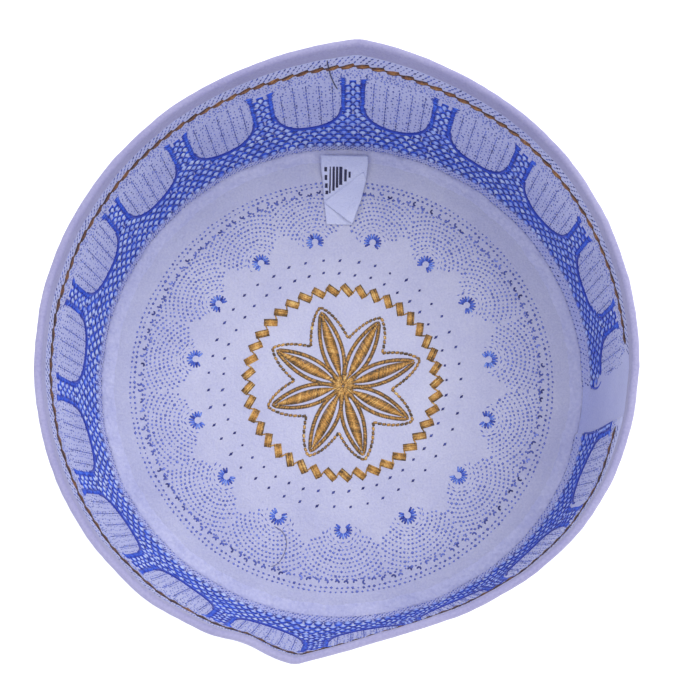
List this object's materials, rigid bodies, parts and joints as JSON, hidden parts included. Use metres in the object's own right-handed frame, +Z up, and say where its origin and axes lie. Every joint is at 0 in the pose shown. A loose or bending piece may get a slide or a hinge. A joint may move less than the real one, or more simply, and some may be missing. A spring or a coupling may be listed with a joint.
{
  "type": "prayer cap",
  "caption": "Round prayer cap of quilted white cloth with a flat crown, a straight embroidered band and a folded hem, lying on its crown.",
  "frame": {"origin": "middle of the crown's flat underside, on the floor that the cap lies on", "axes": "+Z up through the open mouth; +Y towards the back of the cap as it lies, where the label is; the band's lapped seam is near +X"},
  "size_m": [0.1854, 0.1948, 0.076],
  "materials": {
    "cloth": "matt quilted cotton with a soft white face",
    "hem_cloth": "matt folded cotton edge",
    "ribbon": "smooth woven ribbon",
    "blue_thread": "glossy embroidery thread",
    "gold_thread": "glossy embroidery thread"
  },
  "bodies": {
    "root": {"crown_panel": "cloth", "seam_allowance": "cloth", "side_band": "cloth", "rim_hem": "hem_cloth", "label": "ribbon"}
  },
  "joints": []
}
